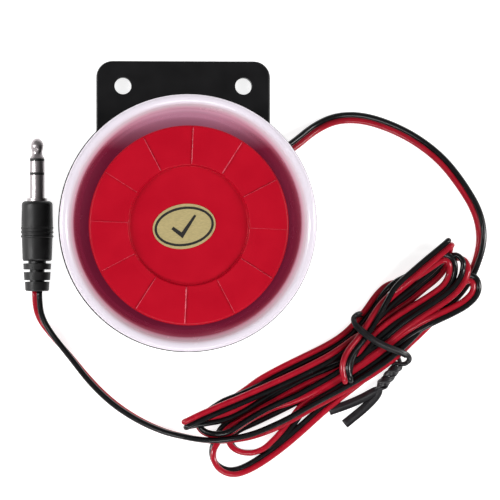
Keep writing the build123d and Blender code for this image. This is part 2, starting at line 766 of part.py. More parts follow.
with BuildPart() as twist_tie:
    with BuildSketch(tie_plane.offset(-TIE_RADIUS)):
        with Locations((0, HANK_HEIGHT / 2)):
            RectangleRounded(2 * tie_half + 2 * TIE_RADIUS, HANK_HEIGHT, 1.8)
            RectangleRounded(
                2 * tie_half - 2 * TIE_RADIUS,
                HANK_HEIGHT - 4 * TIE_RADIUS,
                1.2,
                mode=Mode.SUBTRACT,
            )
    extrude(amount=2 * TIE_RADIUS)
    # twisted neck, then the two loose tails
    with BuildLine() as neck_line:
        Line((54.1, -32.6, TIE_NECK_RADIUS), (48.2, -39.6, TIE_NECK_RADIUS))
    with BuildSketch(Plane(origin=neck_line.line @ 0, z_dir=neck_line.line % 0)):
        Circle(TIE_NECK_RADIUS)
    sweep(path=neck_line.line)
    tie_tails = (
        ((46.0, -40.8, TIE_RADIUS), (35.4, -45.3, TIE_RADIUS)),
        ((46.4, -42.2, TIE_RADIUS), (38.6, -48.0, TIE_RADIUS)),
    )
    for bend, tail_end in tie_tails:
        with BuildLine() as tie_tail:
            FilletPolyline((48.4, -39.3, TIE_NECK_RADIUS), bend, tail_end, radius=3.0)
        with BuildSketch(Plane(origin=tie_tail.line @ 0, z_dir=tie_tail.line % 0)):
            Circle(TIE_RADIUS)
        sweep(path=tie_tail.line)
save(twist_tie, "twist_tie")
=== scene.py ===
"""Alarm siren with its folded twin lead and jack plug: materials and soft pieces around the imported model."""

import math
import random

import bpy
from mathutils import Matrix, Vector


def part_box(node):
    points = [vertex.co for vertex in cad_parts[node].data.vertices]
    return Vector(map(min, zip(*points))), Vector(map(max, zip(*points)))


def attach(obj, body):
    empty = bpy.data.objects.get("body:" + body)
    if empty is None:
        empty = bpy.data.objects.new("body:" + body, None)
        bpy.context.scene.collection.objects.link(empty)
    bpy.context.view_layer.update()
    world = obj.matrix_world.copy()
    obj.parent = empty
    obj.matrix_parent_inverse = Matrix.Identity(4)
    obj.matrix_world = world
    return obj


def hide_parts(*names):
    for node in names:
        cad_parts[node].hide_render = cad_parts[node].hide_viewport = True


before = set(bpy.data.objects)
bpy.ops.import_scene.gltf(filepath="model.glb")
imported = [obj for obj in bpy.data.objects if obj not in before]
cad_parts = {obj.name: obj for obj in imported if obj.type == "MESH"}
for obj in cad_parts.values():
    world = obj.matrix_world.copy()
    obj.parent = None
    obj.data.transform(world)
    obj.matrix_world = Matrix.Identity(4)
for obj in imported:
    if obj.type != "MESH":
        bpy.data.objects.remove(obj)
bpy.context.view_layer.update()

MM = 0.001

# ---------------------------------------------------------------- camera
CAMERA_AT = Vector((-21, -6, 650)) * MM
CAMERA_LOOKS_AT = Vector((16.0, -6.1, 0)) * MM
CAMERA_LENS = 196.5


def add_camera():
    """Camera high over the object, with +Y up in its picture."""
    ahead = (CAMERA_LOOKS_AT - CAMERA_AT).normalized()
    right = ahead.cross(Vector((0, 1, 0))).normalized()
    above = right.cross(ahead)
    data = bpy.data.cameras.new("camera")
    data.lens = CAMERA_LENS
    data.clip_start = 0.01
    camera = bpy.data.objects.new("camera", data)
    turn = Matrix((right, above, -ahead)).transposed()
    camera.matrix_world = Matrix.Translation(CAMERA_AT) @ turn.to_4x4()
    bpy.context.collection.objects.link(camera)
    bpy.context.scene.camera = camera


add_camera()

# ---------------------------------------------------------------- shape tools
UP = Vector((0, 0, 1))


def new_mesh(name, vertices, faces, materials, face_material=None):
    """A smooth-shaded mesh object in the collection."""
    mesh = bpy.data.meshes.new(name)
    mesh.from_pydata([tuple(v) for v in vertices], [], faces)
    for material in materials:
        mesh.materials.append(material)
    for index, polygon in enumerate(mesh.polygons):
        polygon.use_smooth = True
        if face_material:
            polygon.material_index = face_material[index]
    mesh.validate()
    made = bpy.data.objects.new(name, mesh)
    bpy.context.collection.objects.link(made)
    return made


def spline_points(points, steps):
    """Points along one open quadratic spline over the control points."""
    data = bpy.data.curves.new("line", "CURVE")
    data.dimensions = "3D"
    data.resolution_u = steps
    spline = data.splines.new("NURBS")
    spline.points.add(len(points) - 1)
    for at, place in zip(spline.points, points):
        at.co = (*place, 1.0)
    spline.order_u = 3
    spline.use_endpoint_u = True
    line = bpy.data.objects.new("line", data)
    bpy.context.collection.objects.link(line)
    graph = bpy.context.evaluated_depsgraph_get()
    found = bpy.data.meshes.new_from_object(line.evaluated_get(graph))
    path = [v.co.copy() for v in found.vertices]
    bpy.data.objects.remove(line)
    bpy.data.curves.remove(data)
    bpy.data.meshes.remove(found)
    return path


def side_directions(route, path):
    """The direction of the route's turned side at each point of its path."""
    points = [Vector(row[:3]) for row in route]
    last = len(points) - 1
    sides = []
    for index, row in enumerate(route):
        ahead = points[min(index + 1, last)] - points[max(index - 1, 0)]
        left = UP.cross(ahead).normalized()
        angle = math.radians(row[3])
        sides.append(left * math.cos(angle) + UP * math.sin(angle))
    # where each control point acts along the spline
    acts_at = [0.0, *(index - 0.5 for index in range(1, last)), last - 1.0]
    directions = []
    index = 0
    for step, place in enumerate(path):
        along = step / (len(path) - 1) * (last - 1)
        while index < last - 1 and along > acts_at[index + 1]:
            index += 1
        share = (along - acts_at[index]) / (acts_at[index + 1] - acts_at[index])
        side = sides[index].lerp(sides[index + 1], min(share, 1.0))
        ahead = (path[min(step + 1, len(path) - 1)] - path[max(step - 1, 0)]).normalized()
        directions.append((side - ahead * side.dot(ahead)).normalized())
    return directions


def sweep(name, path, sides, outline, materials, outline_material=None, shares=None):
    """A closed outline of (side, over) offsets carried along a path, with flat ends."""
    count = len(outline)
    vertices = []
    for step, place in enumerate(path):
        ahead = (path[min(step + 1, len(path) - 1)] - path[max(step - 1, 0)]).normalized()
        over = ahead.cross(sides[step])
        wide, thick = shares[step] if shares else (1.0, 1.0)
        vertices += [place + sides[step] * a * wide + over * b * thick for a, b in outline]
    faces = []
    materials_used = []
    for step in range(len(path) - 1):
        for k in range(count):
            near, beside = step * count + k, step * count + (k + 1) % count
            faces.append((near, beside, beside + count, near + count))
            materials_used.append(outline_material[k] if outline_material else 0)
    ends = [tuple(reversed(range(count))), tuple(range(len(vertices) - count, len(vertices)))]
    return new_mesh(name, vertices, faces + ends, materials, materials_used + [0, 0])


# ---------------------------------------------------------------- material tools
GRAIN_DEPTH = 0.03 * MM


def principled(name, colour, roughness, metallic=0.0):
    """A new node material and its shader."""
    material = bpy.data.materials.new(name)
    material.use_nodes = True
    shader = material.node_tree.nodes["Principled BSDF"]
    shader.inputs["Base Color"].default_value = (*colour, 1.0)
    shader.inputs["Roughness"].default_value = roughness
    shader.inputs["Metallic"].default_value = metallic
    return material, shader


def noise_node(tree, scale, detail=3.0, stretch=(1, 1, 1)):
    """Noise over the object's own coordinates."""
    place = tree.nodes.new("ShaderNodeTexCoord")
    mapping = tree.nodes.new("ShaderNodeMapping")
    mapping.inputs["Scale"].default_value = stretch
    noise = tree.nodes.new("ShaderNodeTexNoise")
    noise.inputs["Scale"].default_value = scale
    noise.inputs["Detail"].default_value = detail
    tree.links.new(place.outputs["Object"], mapping.inputs["Vector"])
    tree.links.new(mapping.outputs["Vector"], noise.inputs["Vector"])
    return noise.outputs["Fac"]


def ranged(tree, value, low, high, start=0.3, stop=0.7):
    """The value carried from start..stop to low..high."""
    node = tree.nodes.new("ShaderNodeMapRange")
    node.inputs["From Min"].default_value = start
    node.inputs["From Max"].default_value = stop
    node.inputs["To Min"].default_value = low
    node.inputs["To Max"].default_value = high
    tree.links.new(value, node.inputs["Value"])
    return node.outputs["Result"]


def blend_colours(tree, share, first, second, linked=False):
    """A colour between two, plain or linked ones, by a changing share."""
    node = tree.nodes.new("ShaderNodeMix")
    node.data_type = "RGBA"
    # the colour sockets follow the node's number and vector ones
    ends = node.inputs[6], node.inputs[7]
    for end, colour in zip(ends, (first, second)):
        if linked:
            tree.links.new(colour, end)
        else:
            end.default_value = (*colour, 1.0)
    tree.links.new(share, node.inputs["Factor"])
    return node.outputs[2]


def surface(name, colour, roughness, metallic=0.0, mottle=0.0, mottle_scale=300, rough_swing=0.05,
            grain=0.0, grain_scale=6000, stretch=(1, 1, 1)):
    """A material whose colour and roughness drift a little over the surface, with a fine grain."""
    material, shader = principled(name, colour, roughness, metallic)
    tree = material.node_tree
    drift = noise_node(tree, mottle_scale, 4.0, stretch)
    if mottle:
        darker = tuple(c * (1 - mottle) for c in colour)
        lighter = tuple(min(1.0, c * (1 + mottle)) for c in colour)
        share = ranged(tree, drift, 0.0, 1.0)
        tree.links.new(blend_colours(tree, share, darker, lighter), shader.inputs["Base Color"])
    rough = ranged(tree, drift, roughness - rough_swing, roughness + rough_swing)
    tree.links.new(rough, shader.inputs["Roughness"])
    if grain:
        bump = tree.nodes.new("ShaderNodeBump")
        bump.inputs["Strength"].default_value = grain
        bump.inputs["Distance"].default_value = GRAIN_DEPTH
        tree.links.new(noise_node(tree, grain_scale, 2.0, stretch), bump.inputs["Height"])
        tree.links.new(bump.outputs["Normal"], shader.inputs["Normal"])
    return material, shader


def dress(node, material):
    """Gives a CAD node its material."""
    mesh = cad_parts[node].data
    mesh.materials.clear()
    mesh.materials.append(material)


# ---------------------------------------------------------------- twin lead
CONDUCTOR_RADIUS = 0.70 * MM
CONDUCTOR_OFFSET = 0.68 * MM
CONDUCTOR_SIDES = 14
LEAD_STEPS = 8

# Centre line of the lead, in millimetres, with the angle of the red conductor about it:
# 0 left of the way ahead, 90 above, 180 right, -90 below. One list, in order along the lead.
LEAD_ROUTE = [
    # from the siren to the hank
    (14.4, 10.4, 6.2, 180), (21.6, 15.7, 6.2, 180), (26.6, 19.1, 3.9, 180), (31.2, 22.9, 1.1, 180),
    (36.4, 25.4, 0.75, 180), (42.6, 25.6, 0.75, 180), (49.6, 23.5, 0.75, 180), (56.2, 20.1, 0.75, 182),
    (62.1, 15.4, 0.8, 185), (66.8, 9.4, 0.9, 195), (70.6, 3, 1, 205), (71.7, -3.2, 1.15, 218),
    # first run, along the hank's lower edge
    (70.4, -9, 1.3, 240), (67.8, -14.2, 1.2, 225), (63.8, -18.6, 0.9, 200), (59, -22.4, 0.75, 180),
    (54.6, -26.6, 0.75, 180), (50, -31, 1.2, 140), (44.8, -35.4, 1.4, 70), (38.8, -39.6, 1, 15),
    (33.4, -44, 0.75, 0),
    # outer loop at the hank's left end
    (28.8, -48.2, 0.75, 0), (24.4, -52, 0.75, 5), (20, -55.3, 0.8, 10), (15.8, -57.9, 1, 25),
    (12.2, -59.2, 1.15, 40), (9.2, -58.5, 1.35, 65), (7.2, -56.4, 1.4, 90), (6.9, -53.8, 1.4, 105),
    (8, -51.4, 1.2, 130), (9.4, -48.8, 1.15, 150), (11.9, -46.8, 0.95, 165),
    # second run, on the floor
    (15.7, -44.5, 0.75, 170), (20, -42.4, 0.75, 180), (24.6, -39.8, 0.75, 180), (30, -37, 0.75, 180),
    (36, -34.6, 0.75, 180), (42, -32, 0.75, 180), (47.6, -28.6, 0.75, 180), (52, -25, 0.75, 180),
    (57, -21.6, 0.8, 180), (62, -17.9, 1.9, 180),
    # outermost fold at the right
    (65.4, -14.4, 2.9, 180), (67.6, -12.5, 3.1, 180), (69.7, -13.2, 3.2, 180), (69.9, -16.2, 3.3, 180),
    (67.4, -18.8, 3.5, 180), (63.6, -20.8, 3.8, 180), (60, -22.4, 4, 180), (56.4, -24.2, 3.4, 180),
    # third run
    (52.6, -26.6, 2.6, 180), (48.9, -29.8, 2.2, 180), (44.4, -33.2, 2.2, 180), (39.8, -36.2, 2.1, 180),
    (35.4, -38.9, 1.9, 180), (31.4, -41.2, 1.5, 180), (28.4, -43.8, 0.8, 180),
    # inner loop at the left end
    (26.2, -46.8, 0.75, 180), (24.2, -49.5, 0.85, 170), (21.8, -51.8, 1.15, 140),
    (19.2, -53.6, 1.4, 105), (16.2, -54.5, 1.4, 90), (13.2, -54.1, 1.4, 90), (11.3, -52.6, 1.3, 75),
    (11, -50.4, 1.1, 45), (12.9, -48.5, 0.9, 25),
    # fourth run
    (16.8, -46.8, 0.8, 10), (21.2, -44.7, 0.75, 0), (26, -42.3, 0.75, 0), (31.4, -39.6, 0.75, 0),
    (37, -37, 0.9, 0), (41.2, -32.4, 2, 0), (45, -27.3, 2.5, 0), (50, -23.1, 2.4, 0),
    (55.2, -19.9, 2.5, 0),
    # fold around the open slot
    (59.6, -17.2, 2.7, 0), (62.8, -14.8, 3, 0), (64.2, -11.6, 3.3, 0), (64, -8.6, 3.5, 0),
    (61.8, -7.5, 3.5, 0), (58.8, -9.6, 3.5, 0), (55.6, -11.8, 3.5, 0),
    # fifth run, along the hank's upper edge
    (52.6, -13.3, 3.3, -30), (50.4, -13.8, 2.3, -90), (48.2, -15.2, 1.4, -130), (46.2, -17.7, 1, -160),
    (44.4, -20.4, 0.8, -180), (42, -23.5, 0.75, -180), (38.6, -26.9, 0.75, -180),
    (34.4, -29.5, 0.75, -180), (29.4, -31.9, 0.75, -180), (24.4, -34.3, 0.75, -180),
    (19.4, -36.9, 1, -165), (14.6, -39.8, 1.4, -105), (9.6, -42.3, 1.4, -60), (5.6, -44.6, 1.4, -80),
    # fold under the plug's lead
    (3.3, -46.8, 1.35, -110), (4.4, -49.2, 1.9, -105), (7.4, -50.1, 3.1, -110),
    (10.8, -49.6, 3.4, -110), (14, -47.4, 3, -105),
    # sixth run
    (17.9, -45, 2.5, -105), (22.1, -43.1, 2.3, -120), (27, -41.4, 2.2, -150), (31.6, -39, 2.2, -180),
    (36.2, -36.4, 2.2, -180), (40.6, -33.6, 2.2, -180), (44.4, -30.9, 2.2, -180),
    (47.8, -28.3, 2.2, -180), (51.4, -25, 2.9, -180), (55.6, -22, 3.6, -180),
    # middle fold at the right
    (60.2, -19.1, 3.9, -180), (64, -16.4, 4.1, -180), (66.3, -13.6, 4.4, -180),
    (67.3, -10.8, 4.2, -170), (67, -8.5, 3.6, -115), (65.2, -7.5, 2.7, -60), (63, -8.1, 2.2, -60),
    # seventh run, into the crease beside the tie
    (60.4, -10, 2.1, -100), (57, -12.4, 2.1, -150), (53.6, -15, 2.1, -180), (50, -17.9, 2.1, -180),
    (46.8, -21.1, 2.1, -180), (44, -24.6, 2.1, -180), (41.6, -27.9, 2.9, -180),
    (39.8, -31.1, 3.6, -180), (38.9, -34.2, 3.8, -180),
    # crease beside the tie
    (38.8, -35.9, 3.7, -180), (39.1, -37.4, 3.9, -180), (38.9, -37, 5.4, 0), (38.1, -33.9, 5.2, 0),
    (39.2, -30.6, 5, 0),
    # eighth run, on top
    (42.2, -27.3, 4, -5), (44.4, -24, 3.6, -10), (46.4, -20.7, 3.8, -30), (48.3, -17.8, 4.2, -70),
    (50.6, -15.2, 4.6, -130), (53.8, -12.5, 4.9, -175), (57.6, -9.2, 5, -180), (60.8, -6.6, 5, -180),
    # creased fold at the upper right
    (62.7, -5, 5.1, -180), (63.5, -4.3, 4.9, -180), (63.2, -4.7, 3, 0),
    # ninth run, back underneath and out on top
    (62.9, -7.6, 1.1, 0), (62.3, -10.2, 0.75, 0), (60.2, -12.7, 0.75, 0), (57.3, -14.9, 0.75, 0),
    (54.3, -17.5, 0.75, 0), (50.7, -19.9, 0.75, 0), (47.1, -22.4, 1, 20), (43.4, -25.1, 1.4, 70),
    (40.2, -27.9, 1.9, 125), (36.8, -30.7, 2.5, 165), (32.6, -33.1, 2.4, 180), (28.2, -35.3, 2.6, 180),
    (23.2, -37.6, 2.8, 180), (18.2, -39.8, 3.1, 180), (13.2, -41.9, 3.7, 180), (8.4, -43.8, 4.3, 180),
    (4.2, -45.6, 4.7, 180),
    # creased fold at the left end
    (1.5, -46.9, 4.8, 180), (0.3, -47.5, 4.6, 180), (0.6, -47.3, 3, 0),
    # tenth run, underneath
    (4.7, -46.7, 2.9, 0), (9.8, -45.9, 2.3, 0), (14.6, -43.7, 1.7, 0), (19.2, -40.6, 1.2, 0),
    (24, -38, 0.75, 0), (29, -35, 0.75, 0), (34, -32.9, 0.75, 0), (38.6, -31.2, 0.75, 0),
    (42.6, -29.2, 0.75, 0), (45.9, -26.6, 0.75, 0), (49.4, -23.3, 0.75, 0), (53, -20.9, 0.75, 0),
    # hidden fold
    (56.4, -19.4, 0.9, 0), (58.8, -18.9, 1.6, 0), (60, -20.4, 2.5, 0), (59.2, -22.6, 2.6, -20),
    # last run, leaving the hank
    (57.3, -25, 2.4, -50), (54.2, -28, 2.5, -60), (50.8, -31.2, 2.7, -55), (46.2, -34.6, 2.8, -50),
    (40.8, -38, 2.7, -50), (35.2, -41, 2.6, -50), (30.2, -43.6, 2.5, -50), (25.6, -46.3, 2.6, -50),
    (21, -48.5, 2.5, -50), (16.4, -50.2, 2.7, -60), (12, -51, 3.3, -70), (7.6, -51.4, 3.2, -80),
    (3.6, -51.1, 2.4, -85),
    # from the hank to the plug's boot
    (0.4, -50.5, 1.6, -90), (-4.6, -49.3, 1.4, -95), (-10.8, -46.5, 1.4, -100),
    (-16.9, -42.4, 1.4, -105), (-22.2, -37.2, 1.4, -105), (-26.9, -31.2, 1.4, -95),
    (-31, -26.4, 2, -80), (-33.6, -22.6, 3.2, -58), (-34.55, -19.2, 3.86, -38),
    (-34.55, -15.8, 3.86, -38),
]


def twin_outline():
    """Outline of the two bonded conductors, and which conductor each side belongs to."""
    waist = math.acos(CONDUCTOR_OFFSET / CONDUCTOR_RADIUS)
    outline, owner = [], []
    for conductor, sign in ((0, 1), (1, -1)):
        start = (0 if sign > 0 else math.pi) - (math.pi - waist)
        for k in range(CONDUCTOR_SIDES):
            angle = start + k * 2 * (math.pi - waist) / CONDUCTOR_SIDES
            outline.append((sign * CONDUCTOR_OFFSET + CONDUCTOR_RADIUS * math.cos(angle),
                            CONDUCTOR_RADIUS * math.sin(angle)))
            owner.append(conductor)
    return outline, owner


def make_lead():
    """The red and black lead, from the siren's grommet through the hank to the plug."""
    route = [(x * MM, y * MM, z * MM, turn) for x, y, z, turn in LEAD_ROUTE]
    path = spline_points([row[:3] for row in route], LEAD_STEPS)
    sides = side_directions(route, path)
    red, red_shader = surface("lead_red", (0.40, 0.004, 0.018), 0.22, mottle=0.10, mottle_scale=500,
                              rough_swing=0.06, grain=0.10, grain_scale=2500)
    black, black_shader = surface("lead_black", (0.0028, 0.0025, 0.0032), 0.22, mottle=0.2, mottle_scale=500,
                                  rough_swing=0.06, grain=0.10, grain_scale=2500)
    for shader in (red_shader, black_shader):
        shader.inputs["Specular IOR Level"].default_value = 0.34
        shader.inputs["Coat Weight"].default_value = 0.15
        shader.inputs["Coat Roughness"].default_value = 0.15
    outline, owner = twin_outline()
    lead = sweep("cord_lead", path, sides, outline, [red, black], owner)
    return lead, path


cord_lead, lead_path = make_lead()
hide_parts("cord_lead_siren", "cord_hank", "cord_lead_plug")
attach(cord_lead, "root")

# ---------------------------------------------------------------- twist tie
TIE_WIDTH = 2.15 * MM
TIE_FILM = 0.34 * MM
TIE_WIRE = 0.52 * MM
KNOT_START = Vector((51.2, -33.6, 1.9)) * MM
KNOT_END = Vector((47.4, -38.4, 1.5)) * MM
KNOT_TURNS = 0.95
KNOT_RADIUS = 0.92
KNOT_STEPS = 12
TIE_STEPS = 6
RIDGE_STEPS = 6
RIDGE_STARTS = (20, 200)
RIDGE_SPAN = 140

# The tie's loop, from the knot under the hank and back over it: place, turn, then how wide and how
# thick its film and wire are there, as shares. It is flat below and rolled round its wire above.
TIE_LOOP = [
    (51.8, -32.2, 0.7, 60, 0.90, 0.80), (49.0, -28.6, 0.0, 0, 0.85, 0.38),
    (46.8, -24.0, 0.0, 0, 0.85, 0.38), (44.4, -21.9, 0.2, 0, 0.80, 0.70),
    (42.4, -21.3, 1.0, 40, 0.74, 1.32), (40.6, -21.9, 2.2, 80, 0.74, 1.32),
    (40.5, -23.5, 3.7, 120, 0.74, 1.32), (42.4, -25.5, 4.9, 165, 0.74, 1.32),
    (45.4, -27.7, 5.3, 178, 0.74, 1.32), (48.4, -29.2, 4.8, 184, 0.74, 1.32),
    (51.0, -30.1, 4.2, 195, 0.74, 1.32), (53.3, -31.1, 3.3, 215, 0.74, 1.32),
    (54.0, -32.3, 2.4, 250, 0.80, 1.20), (52.9, -33.5, 1.7, 270, 0.90, 1.10),
]
TIE_TAIL_LONG = [
    (45.6, -39.9, 1.4, 0), (43.0, -41.4, 1.0, 0), (39.6, -42.9, 0.8, 5),
    (37.0, -43.8, 0.8, 5), (34.9, -44.5, 0.9, 5),
]
TIE_TAIL_SHORT = [
    (46.6, -40.4, 1.0, 10), (44.4, -42.9, 0.6, 5), (42.0, -45.0, 0.5, 0),
    (40.2, -46.4, 0.5, 0), (38.6, -47.7, 0.6, 0),
]


def knot_points(phase, outward):
    """One strand of the twisted knot, as rows like the loop's."""
    axis = (KNOT_END - KNOT_START) / MM
    left = UP.cross(axis).normalized()
    over = axis.cross(left).normalized()
    rows = []
    for k in range(KNOT_STEPS + 1):
        share = k / KNOT_STEPS
        angle = phase + share * KNOT_TURNS * 2 * math.pi
        place = KNOT_START / MM + axis * share
        place = place + (left * math.cos(angle) + over * math.sin(angle)) * KNOT_RADIUS
        turn = math.degrees(angle) + 90
        rows.append((*place, turn if outward else 180 - turn))
    return rows if outward else list(reversed(rows))


def ribbon_outline():
    """Flat film with the wire's round ridge along its middle."""
    half = TIE_WIDTH / 2
    edge = TIE_FILM / 2
    outline = []
    for start, sign in zip(RIDGE_STARTS, (1, -1)):
        outline += [(sign * half, -sign * edge), (sign * half, sign * edge)]
        for k in range(RIDGE_STEPS + 1):
            angle = math.radians(start) + k * math.radians(RIDGE_SPAN) / RIDGE_STEPS
            outline.append((TIE_WIRE * math.cos(angle), TIE_WIRE * math.sin(angle)))
    return outline


def make_tie():
    """The black twist tie: tail, knot strand, loop, knot strand and the other tail."""
    rows = list(reversed(TIE_TAIL_LONG)) + knot_points(0.0, False) + TIE_LOOP
    rows += knot_points(math.pi, True) + TIE_TAIL_SHORT
    route = [(row[0] * MM, row[1] * MM, row[2] * MM, row[3]) for row in rows]
    path = spline_points([row[:3] for row in route], TIE_STEPS)
    sides = side_directions(route, path)
    sizes = [Vector(row[4:6] or (1.0, 1.0)) for row in rows]
    shares = []
    for step in range(len(path)):
        at = step / (len(path) - 1) * (len(rows) - 1)
        index = min(int(at), len(rows) - 2)
        shares.append(sizes[index].lerp(sizes[index + 1], at - index))
    black, _ = surface("tie_film", (0.010, 0.009, 0.011), 0.40, mottle=0.25, mottle_scale=700,
                       rough_swing=0.08, grain=0.3, grain_scale=5000)
    return sweep("tie_ribbon", path, sides, ribbon_outline(), [black], shares=shares)


tie_ribbon = make_tie()
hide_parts("twist_tie")
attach(tie_ribbon, "root")

# ---------------------------------------------------------------- siren
PLASTIC_GRAIN = 9000
HORN_FLOOR_AT = 16.8 * MM
HORN_TOP = 38.0 * MM
CAP_EDGE = 0.07 * MM
CAP_EDGE_ANGLE = 50
# how far up the horn, then its colour there with painted shade and the cap's painted red reflection, and its
# painted glow: at the sides, and at the top
HORN_PAINTED_LIGHT = [
    (0.00, (0.34, 0.09, 0.14), (0.080, 0.006, 0.020), (0.230, 0.090, 0.140)),
    (0.45, (0.38, 0.11, 0.16), (0.100, 0.008, 0.022), (0.330, 0.170, 0.240)),
    (0.74, (0.48, 0.18, 0.25), (0.120, 0.016, 0.032), (0.350, 0.230, 0.300)),
    (0.86, (0.66, 0.42, 0.50), (0.160, 0.080, 0.110), (0.160, 0.100, 0.140)),
    (0.94, (0.80, 0.72, 0.79), (0.060, 0.050, 0.060), (0.060, 0.050, 0.060)),
    (1.00, (0.80, 0.735, 0.82), (0.0, 0.0, 0.0), (0.0, 0.0, 0.0)),
]
# from where and to where the painted glow changes, across the mouth, from the shaded sides' to the lit top's
LIT_FROM_Y = 17.0 * MM
LIT_FULL_Y = 24.5 * MM


def ramp_colours(tree, value, stops):
    """Colours laid out along a value from 0 to 1."""
    node = tree.nodes.new("ShaderNodeValToRGB")
    ramp = node.color_ramp
    ramp.interpolation = "EASE"
    for _ in stops[2:]:
        ramp.elements.new(0.5)
    for element, (position, colour) in zip(ramp.elements, stops):
        element.position = position
        element.color = (*colour, 1.0)
    tree.links.new(value, node.inputs["Fac"])
    return node.outputs["Color"]


def horn_surface():
    """Glossy white horn, with painted shade and a painted red reflection of the cap down in the mouth, and a
    painted glow there where the lamps throw little light.
    """
    material, shader = surface("horn_white", (0.81, 0.745, 0.83), 0.24, rough_swing=0.04,
                               grain=0.06, grain_scale=PLASTIC_GRAIN)
    tree = material.node_tree
    place = tree.nodes.new("ShaderNodeNewGeometry")
    parts = tree.nodes.new("ShaderNodeSeparateXYZ")
    tree.links.new(place.outputs["Position"], parts.inputs["Vector"])
    height = ranged(tree, parts.outputs["Z"], 0.0, 1.0, HORN_FLOOR_AT, HORN_TOP)
    lit = ranged(tree, parts.outputs["Y"], 0.0, 1.0, LIT_FROM_Y, LIT_FULL_Y)
    # painted shade and red reflection up the mouth in the base colour, and painted glow for the shaded sides
    # and the lit top
    painted_shade_tint, shaded, bright = (ramp_colours(tree, height, [(row[0], row[kind]) for row in HORN_PAINTED_LIGHT])
                               for kind in (1, 2, 3))
    # the painted glow, lighter towards the lit top of the mouth
    glow = blend_colours(tree, lit, shaded, bright, linked=True)
    tree.links.new(painted_shade_tint, shader.inputs["Base Color"])
    tree.links.new(glow, shader.inputs["Emission Color"])
    shader.inputs["Emission Strength"].default_value = 1.0
    shader.inputs["Coat Weight"].default_value = 0.2
    shader.inputs["Coat Roughness"].default_value = 0.12
    return material


def dress_housing():
    """Shell, plate, horn and reflector cap."""
    shell, shell_shader = surface("shell_black", (0.0045, 0.0042, 0.005), 0.42, mottle=0.15, mottle_scale=250,
                                  rough_swing=0.06, grain=0.25, grain_scale=PLASTIC_GRAIN)
    shell_shader.inputs["Specular IOR Level"].default_value = 0.3
    cap, cap_shader = surface("cap_red", (0.45, 0.0013, 0.014), 0.36, mottle=0.05, mottle_scale=140,
                              rough_swing=0.05, grain=0.14, grain_scale=PLASTIC_GRAIN)
    cap_shader.inputs["Specular IOR Level"].default_value = 0.16
    for node in ("outer_shell", "mounting_base", "driver_housing"):
        dress(node, shell)
    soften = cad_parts["reflector_cap"].modifiers.new("edges", "BEVEL")
    soften.width = CAP_EDGE
    soften.segments = 2
    soften.limit_method = "ANGLE"
    soften.angle_limit = math.radians(CAP_EDGE_ANGLE)
    dress("horn_insert", horn_surface())
    dress("reflector_cap", cap)


def dress_lead_ends():
    """Grommet, plug and boot."""
    rubber, _ = surface("grommet_rubber", (0.014, 0.014, 0.015), 0.6, mottle=0.2, mottle_scale=400,
                        grain=0.4, grain_scale=5000)
    moulded, _ = surface("plug_pvc", (0.0035, 0.0032, 0.0036), 0.46, mottle=0.15, mottle_scale=400,
                         rough_swing=0.07, grain=0.2, grain_scale=5000)
    nickel, _ = surface("plug_nickel", (0.46, 0.42, 0.43), 0.36, metallic=1.0, mottle=0.08, mottle_scale=900,
                        rough_swing=0.06, grain=0.08, grain_scale=4000, stretch=(1, 12, 1))
    insulator, _ = surface("plug_insulator", (0.008, 0.008, 0.008), 0.5, mottle=0.1, mottle_scale=900)
    dress("cord_grommet", rubber)
    for node in ("plug_body", "plug_boot"):
        dress(node, moulded)
    for node in ("plug_tip", "plug_ring", "plug_sleeve", "plug_collar"):
        dress(node, nickel)
    dress("plug_insulators", insulator)


def dress_inside():
    """The driver, the circuit board and its parts, and the screws."""
    looks = {
        "cord_tails": ("tail_pvc", (0.40, 0.004, 0.018), 0.3, 0.0, (1, 1, 1)),
        "piezo_leads": ("piezo_lead_pvc", (0.35, 0.01, 0.02), 0.35, 0.0, (1, 1, 1)),
        "piezo_brass_disc": ("disc_brass", (0.78, 0.60, 0.28), 0.28, 1.0, (1, 9, 1)),
        "piezo_ceramic": ("disc_silvering", (0.72, 0.71, 0.68), 0.45, 0.6, (1, 1, 1)),
        "driver_gasket": ("gasket_foam", (0.04, 0.04, 0.04), 0.9, 0.0, (1, 1, 1)),
        "circuit_board": ("board_laminate", (0.30, 0.19, 0.07), 0.5, 0.0, (6, 1, 1)),
        "siren_chip": ("chip_resin", (0.02, 0.02, 0.02), 0.45, 0.0, (1, 1, 1)),
        "switching_transistor": ("transistor_resin", (0.02, 0.02, 0.02), 0.5, 0.0, (1, 1, 1)),
        "protection_diode": ("diode_resin", (0.02, 0.02, 0.02), 0.5, 0.0, (1, 1, 1)),
        "booster_core": ("core_ferrite", (0.06, 0.06, 0.07), 0.55, 0.2, (1, 1, 1)),
        "booster_winding": ("winding_copper", (0.62, 0.27, 0.10), 0.3, 1.0, (1, 1, 20)),
        "capacitor": ("capacitor_sleeve", (0.02, 0.05, 0.22), 0.3, 0.0, (1, 1, 1)),
        "resistors": ("resistor_lacquer", (0.66, 0.55, 0.36), 0.4, 0.0, (1, 1, 1)),
        "board_screws": ("screw_zinc", (0.62, 0.62, 0.64), 0.3, 1.0, (1, 1, 1)),
        "base_screws": ("screw_black", (0.03, 0.03, 0.03), 0.35, 0.8, (1, 1, 1)),
    }
    for node, (name, colour, roughness, metallic, stretch) in looks.items():
        material, _ = surface(name, colour, roughness, metallic, mottle=0.12, mottle_scale=600,
                              grain=0.2, grain_scale=5000, stretch=stretch)
        dress(node, material)


dress_housing()
dress_lead_ends()
dress_inside()

# ---------------------------------------------------------------- painted highlights along the cap's petal edges
# clockwise from the top of the cap, and how wide the painted highlight line is, in millimetres
PETAL_EDGES = [(2.5, 0.18), (32.5, 0.24), (62.5, 0.09), (92.5, 0.06), (122.5, 0.08), (152.5, 0.11),
               (182.5, 0.26), (212.5, 0.15), (242.5, 0.11), (272.5, 0.06), (302.5, 0.08), (332.5, 0.13)]
EDGE_FROM = 13.9 * MM
EDGE_TO = 22.2 * MM
EDGE_STEPS = 14
EDGE_THICKNESS = 0.02 * MM


